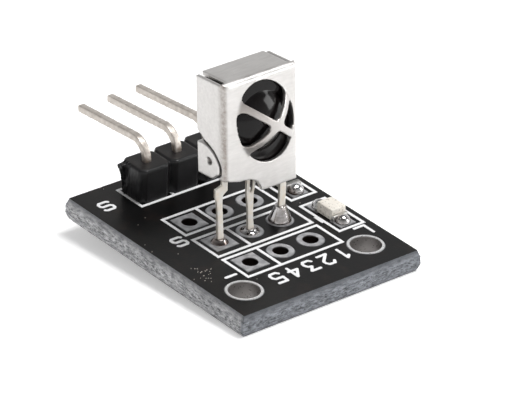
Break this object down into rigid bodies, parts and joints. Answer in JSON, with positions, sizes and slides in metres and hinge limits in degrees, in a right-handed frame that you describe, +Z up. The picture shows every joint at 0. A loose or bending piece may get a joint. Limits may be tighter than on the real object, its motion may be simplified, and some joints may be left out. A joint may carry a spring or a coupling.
{
  "type": "infrared receiver module",
  "caption": "Small black circuit board with a metal-shielded infrared receiver on leads, an indicator LED and a header whose bent pins carry power and signal.",
  "frame": {"origin": "midway between the two mounting holes, at the underside of the board's laminate", "axes": "+X along the header row, +Y from the mounting holes towards the header and its pins, +Z up through the board; the receiver's lens looks to -Y"},
  "size_m": [0.0148, 0.0239, 0.0142],
  "materials": {
    "laminate": "glass-fibre laminate, rough where it was snapped",
    "solder_mask": "satin black solder mask",
    "print_white": "white screen print",
    "pad_tin": "dull tinned copper",
    "hole_tin": "dull tinned copper",
    "shield_steel": "pale tinned steel sheet",
    "black_epoxy": "glossy black filter resin",
    "lead_tin": "satin tinned lead frame",
    "solder": "bright solder",
    "header_plastic": "satin black nylon",
    "pin_tin": "satin tinned brass",
    "led_resin": "cream cast resin",
    "chip_end_tin": "tinned end",
    "resistor_ceramic": "white ceramic",
    "resistor_coat": "black glaze"
  },
  "bodies": {
    "root": {"board": "laminate", "front_row_pad_1": "pad_tin", "front_row_pad_2": "pad_tin", "front_row_pad_3": "pad_tin", "header_body": "header_plastic", "header_pin_1": "pin_tin", "header_pin_2": "pin_tin", "header_pin_3": "pin_tin", "header_row_pad_1": "pad_tin", "header_row_pad_2": "pad_tin", "header_row_pad_3": "pad_tin", "header_solder_1": "solder", "header_solder_2": "solder", "header_solder_3": "solder", "led_body": "led_resin", "led_end_front": "chip_end_tin", "led_end_rear": "chip_end_tin", "led_pad_front": "pad_tin", "led_pad_rear": "pad_tin", "led_solder_front": "solder", "led_solder_rear": "solder", "middle_row_pad_1": "pad_tin", "middle_row_pad_2": "pad_tin", "middle_row_pad_3": "pad_tin", "mounting_hole_left": "hole_tin", "mounting_hole_right": "hole_tin", "rear_row_pad_1": "pad_tin", "rear_row_pad_2": "pad_tin", "rear_row_pad_3": "pad_tin", "receiver_body": "black_epoxy", "receiver_lead_1": "lead_tin", "receiver_lead_2": "lead_tin", "receiver_lead_3": "lead_tin", "receiver_solder_1": "solder", "receiver_solder_2": "solder", "receiver_solder_3": "solder", "resistor_body": "resistor_ceramic", "resistor_coat": "resistor_coat", "resistor_end_front": "chip_end_tin", "resistor_end_rear": "chip_end_tin", "resistor_pad_front": "pad_tin", "resistor_pad_rear": "pad_tin", "resistor_solder_front": "solder", "resistor_solder_rear": "solder", "shield": "shield_steel", "solder_mask_bottom": "solder_mask", "solder_mask_top": "solder_mask", "white_print": "print_white"}
  },
  "joints": []
}
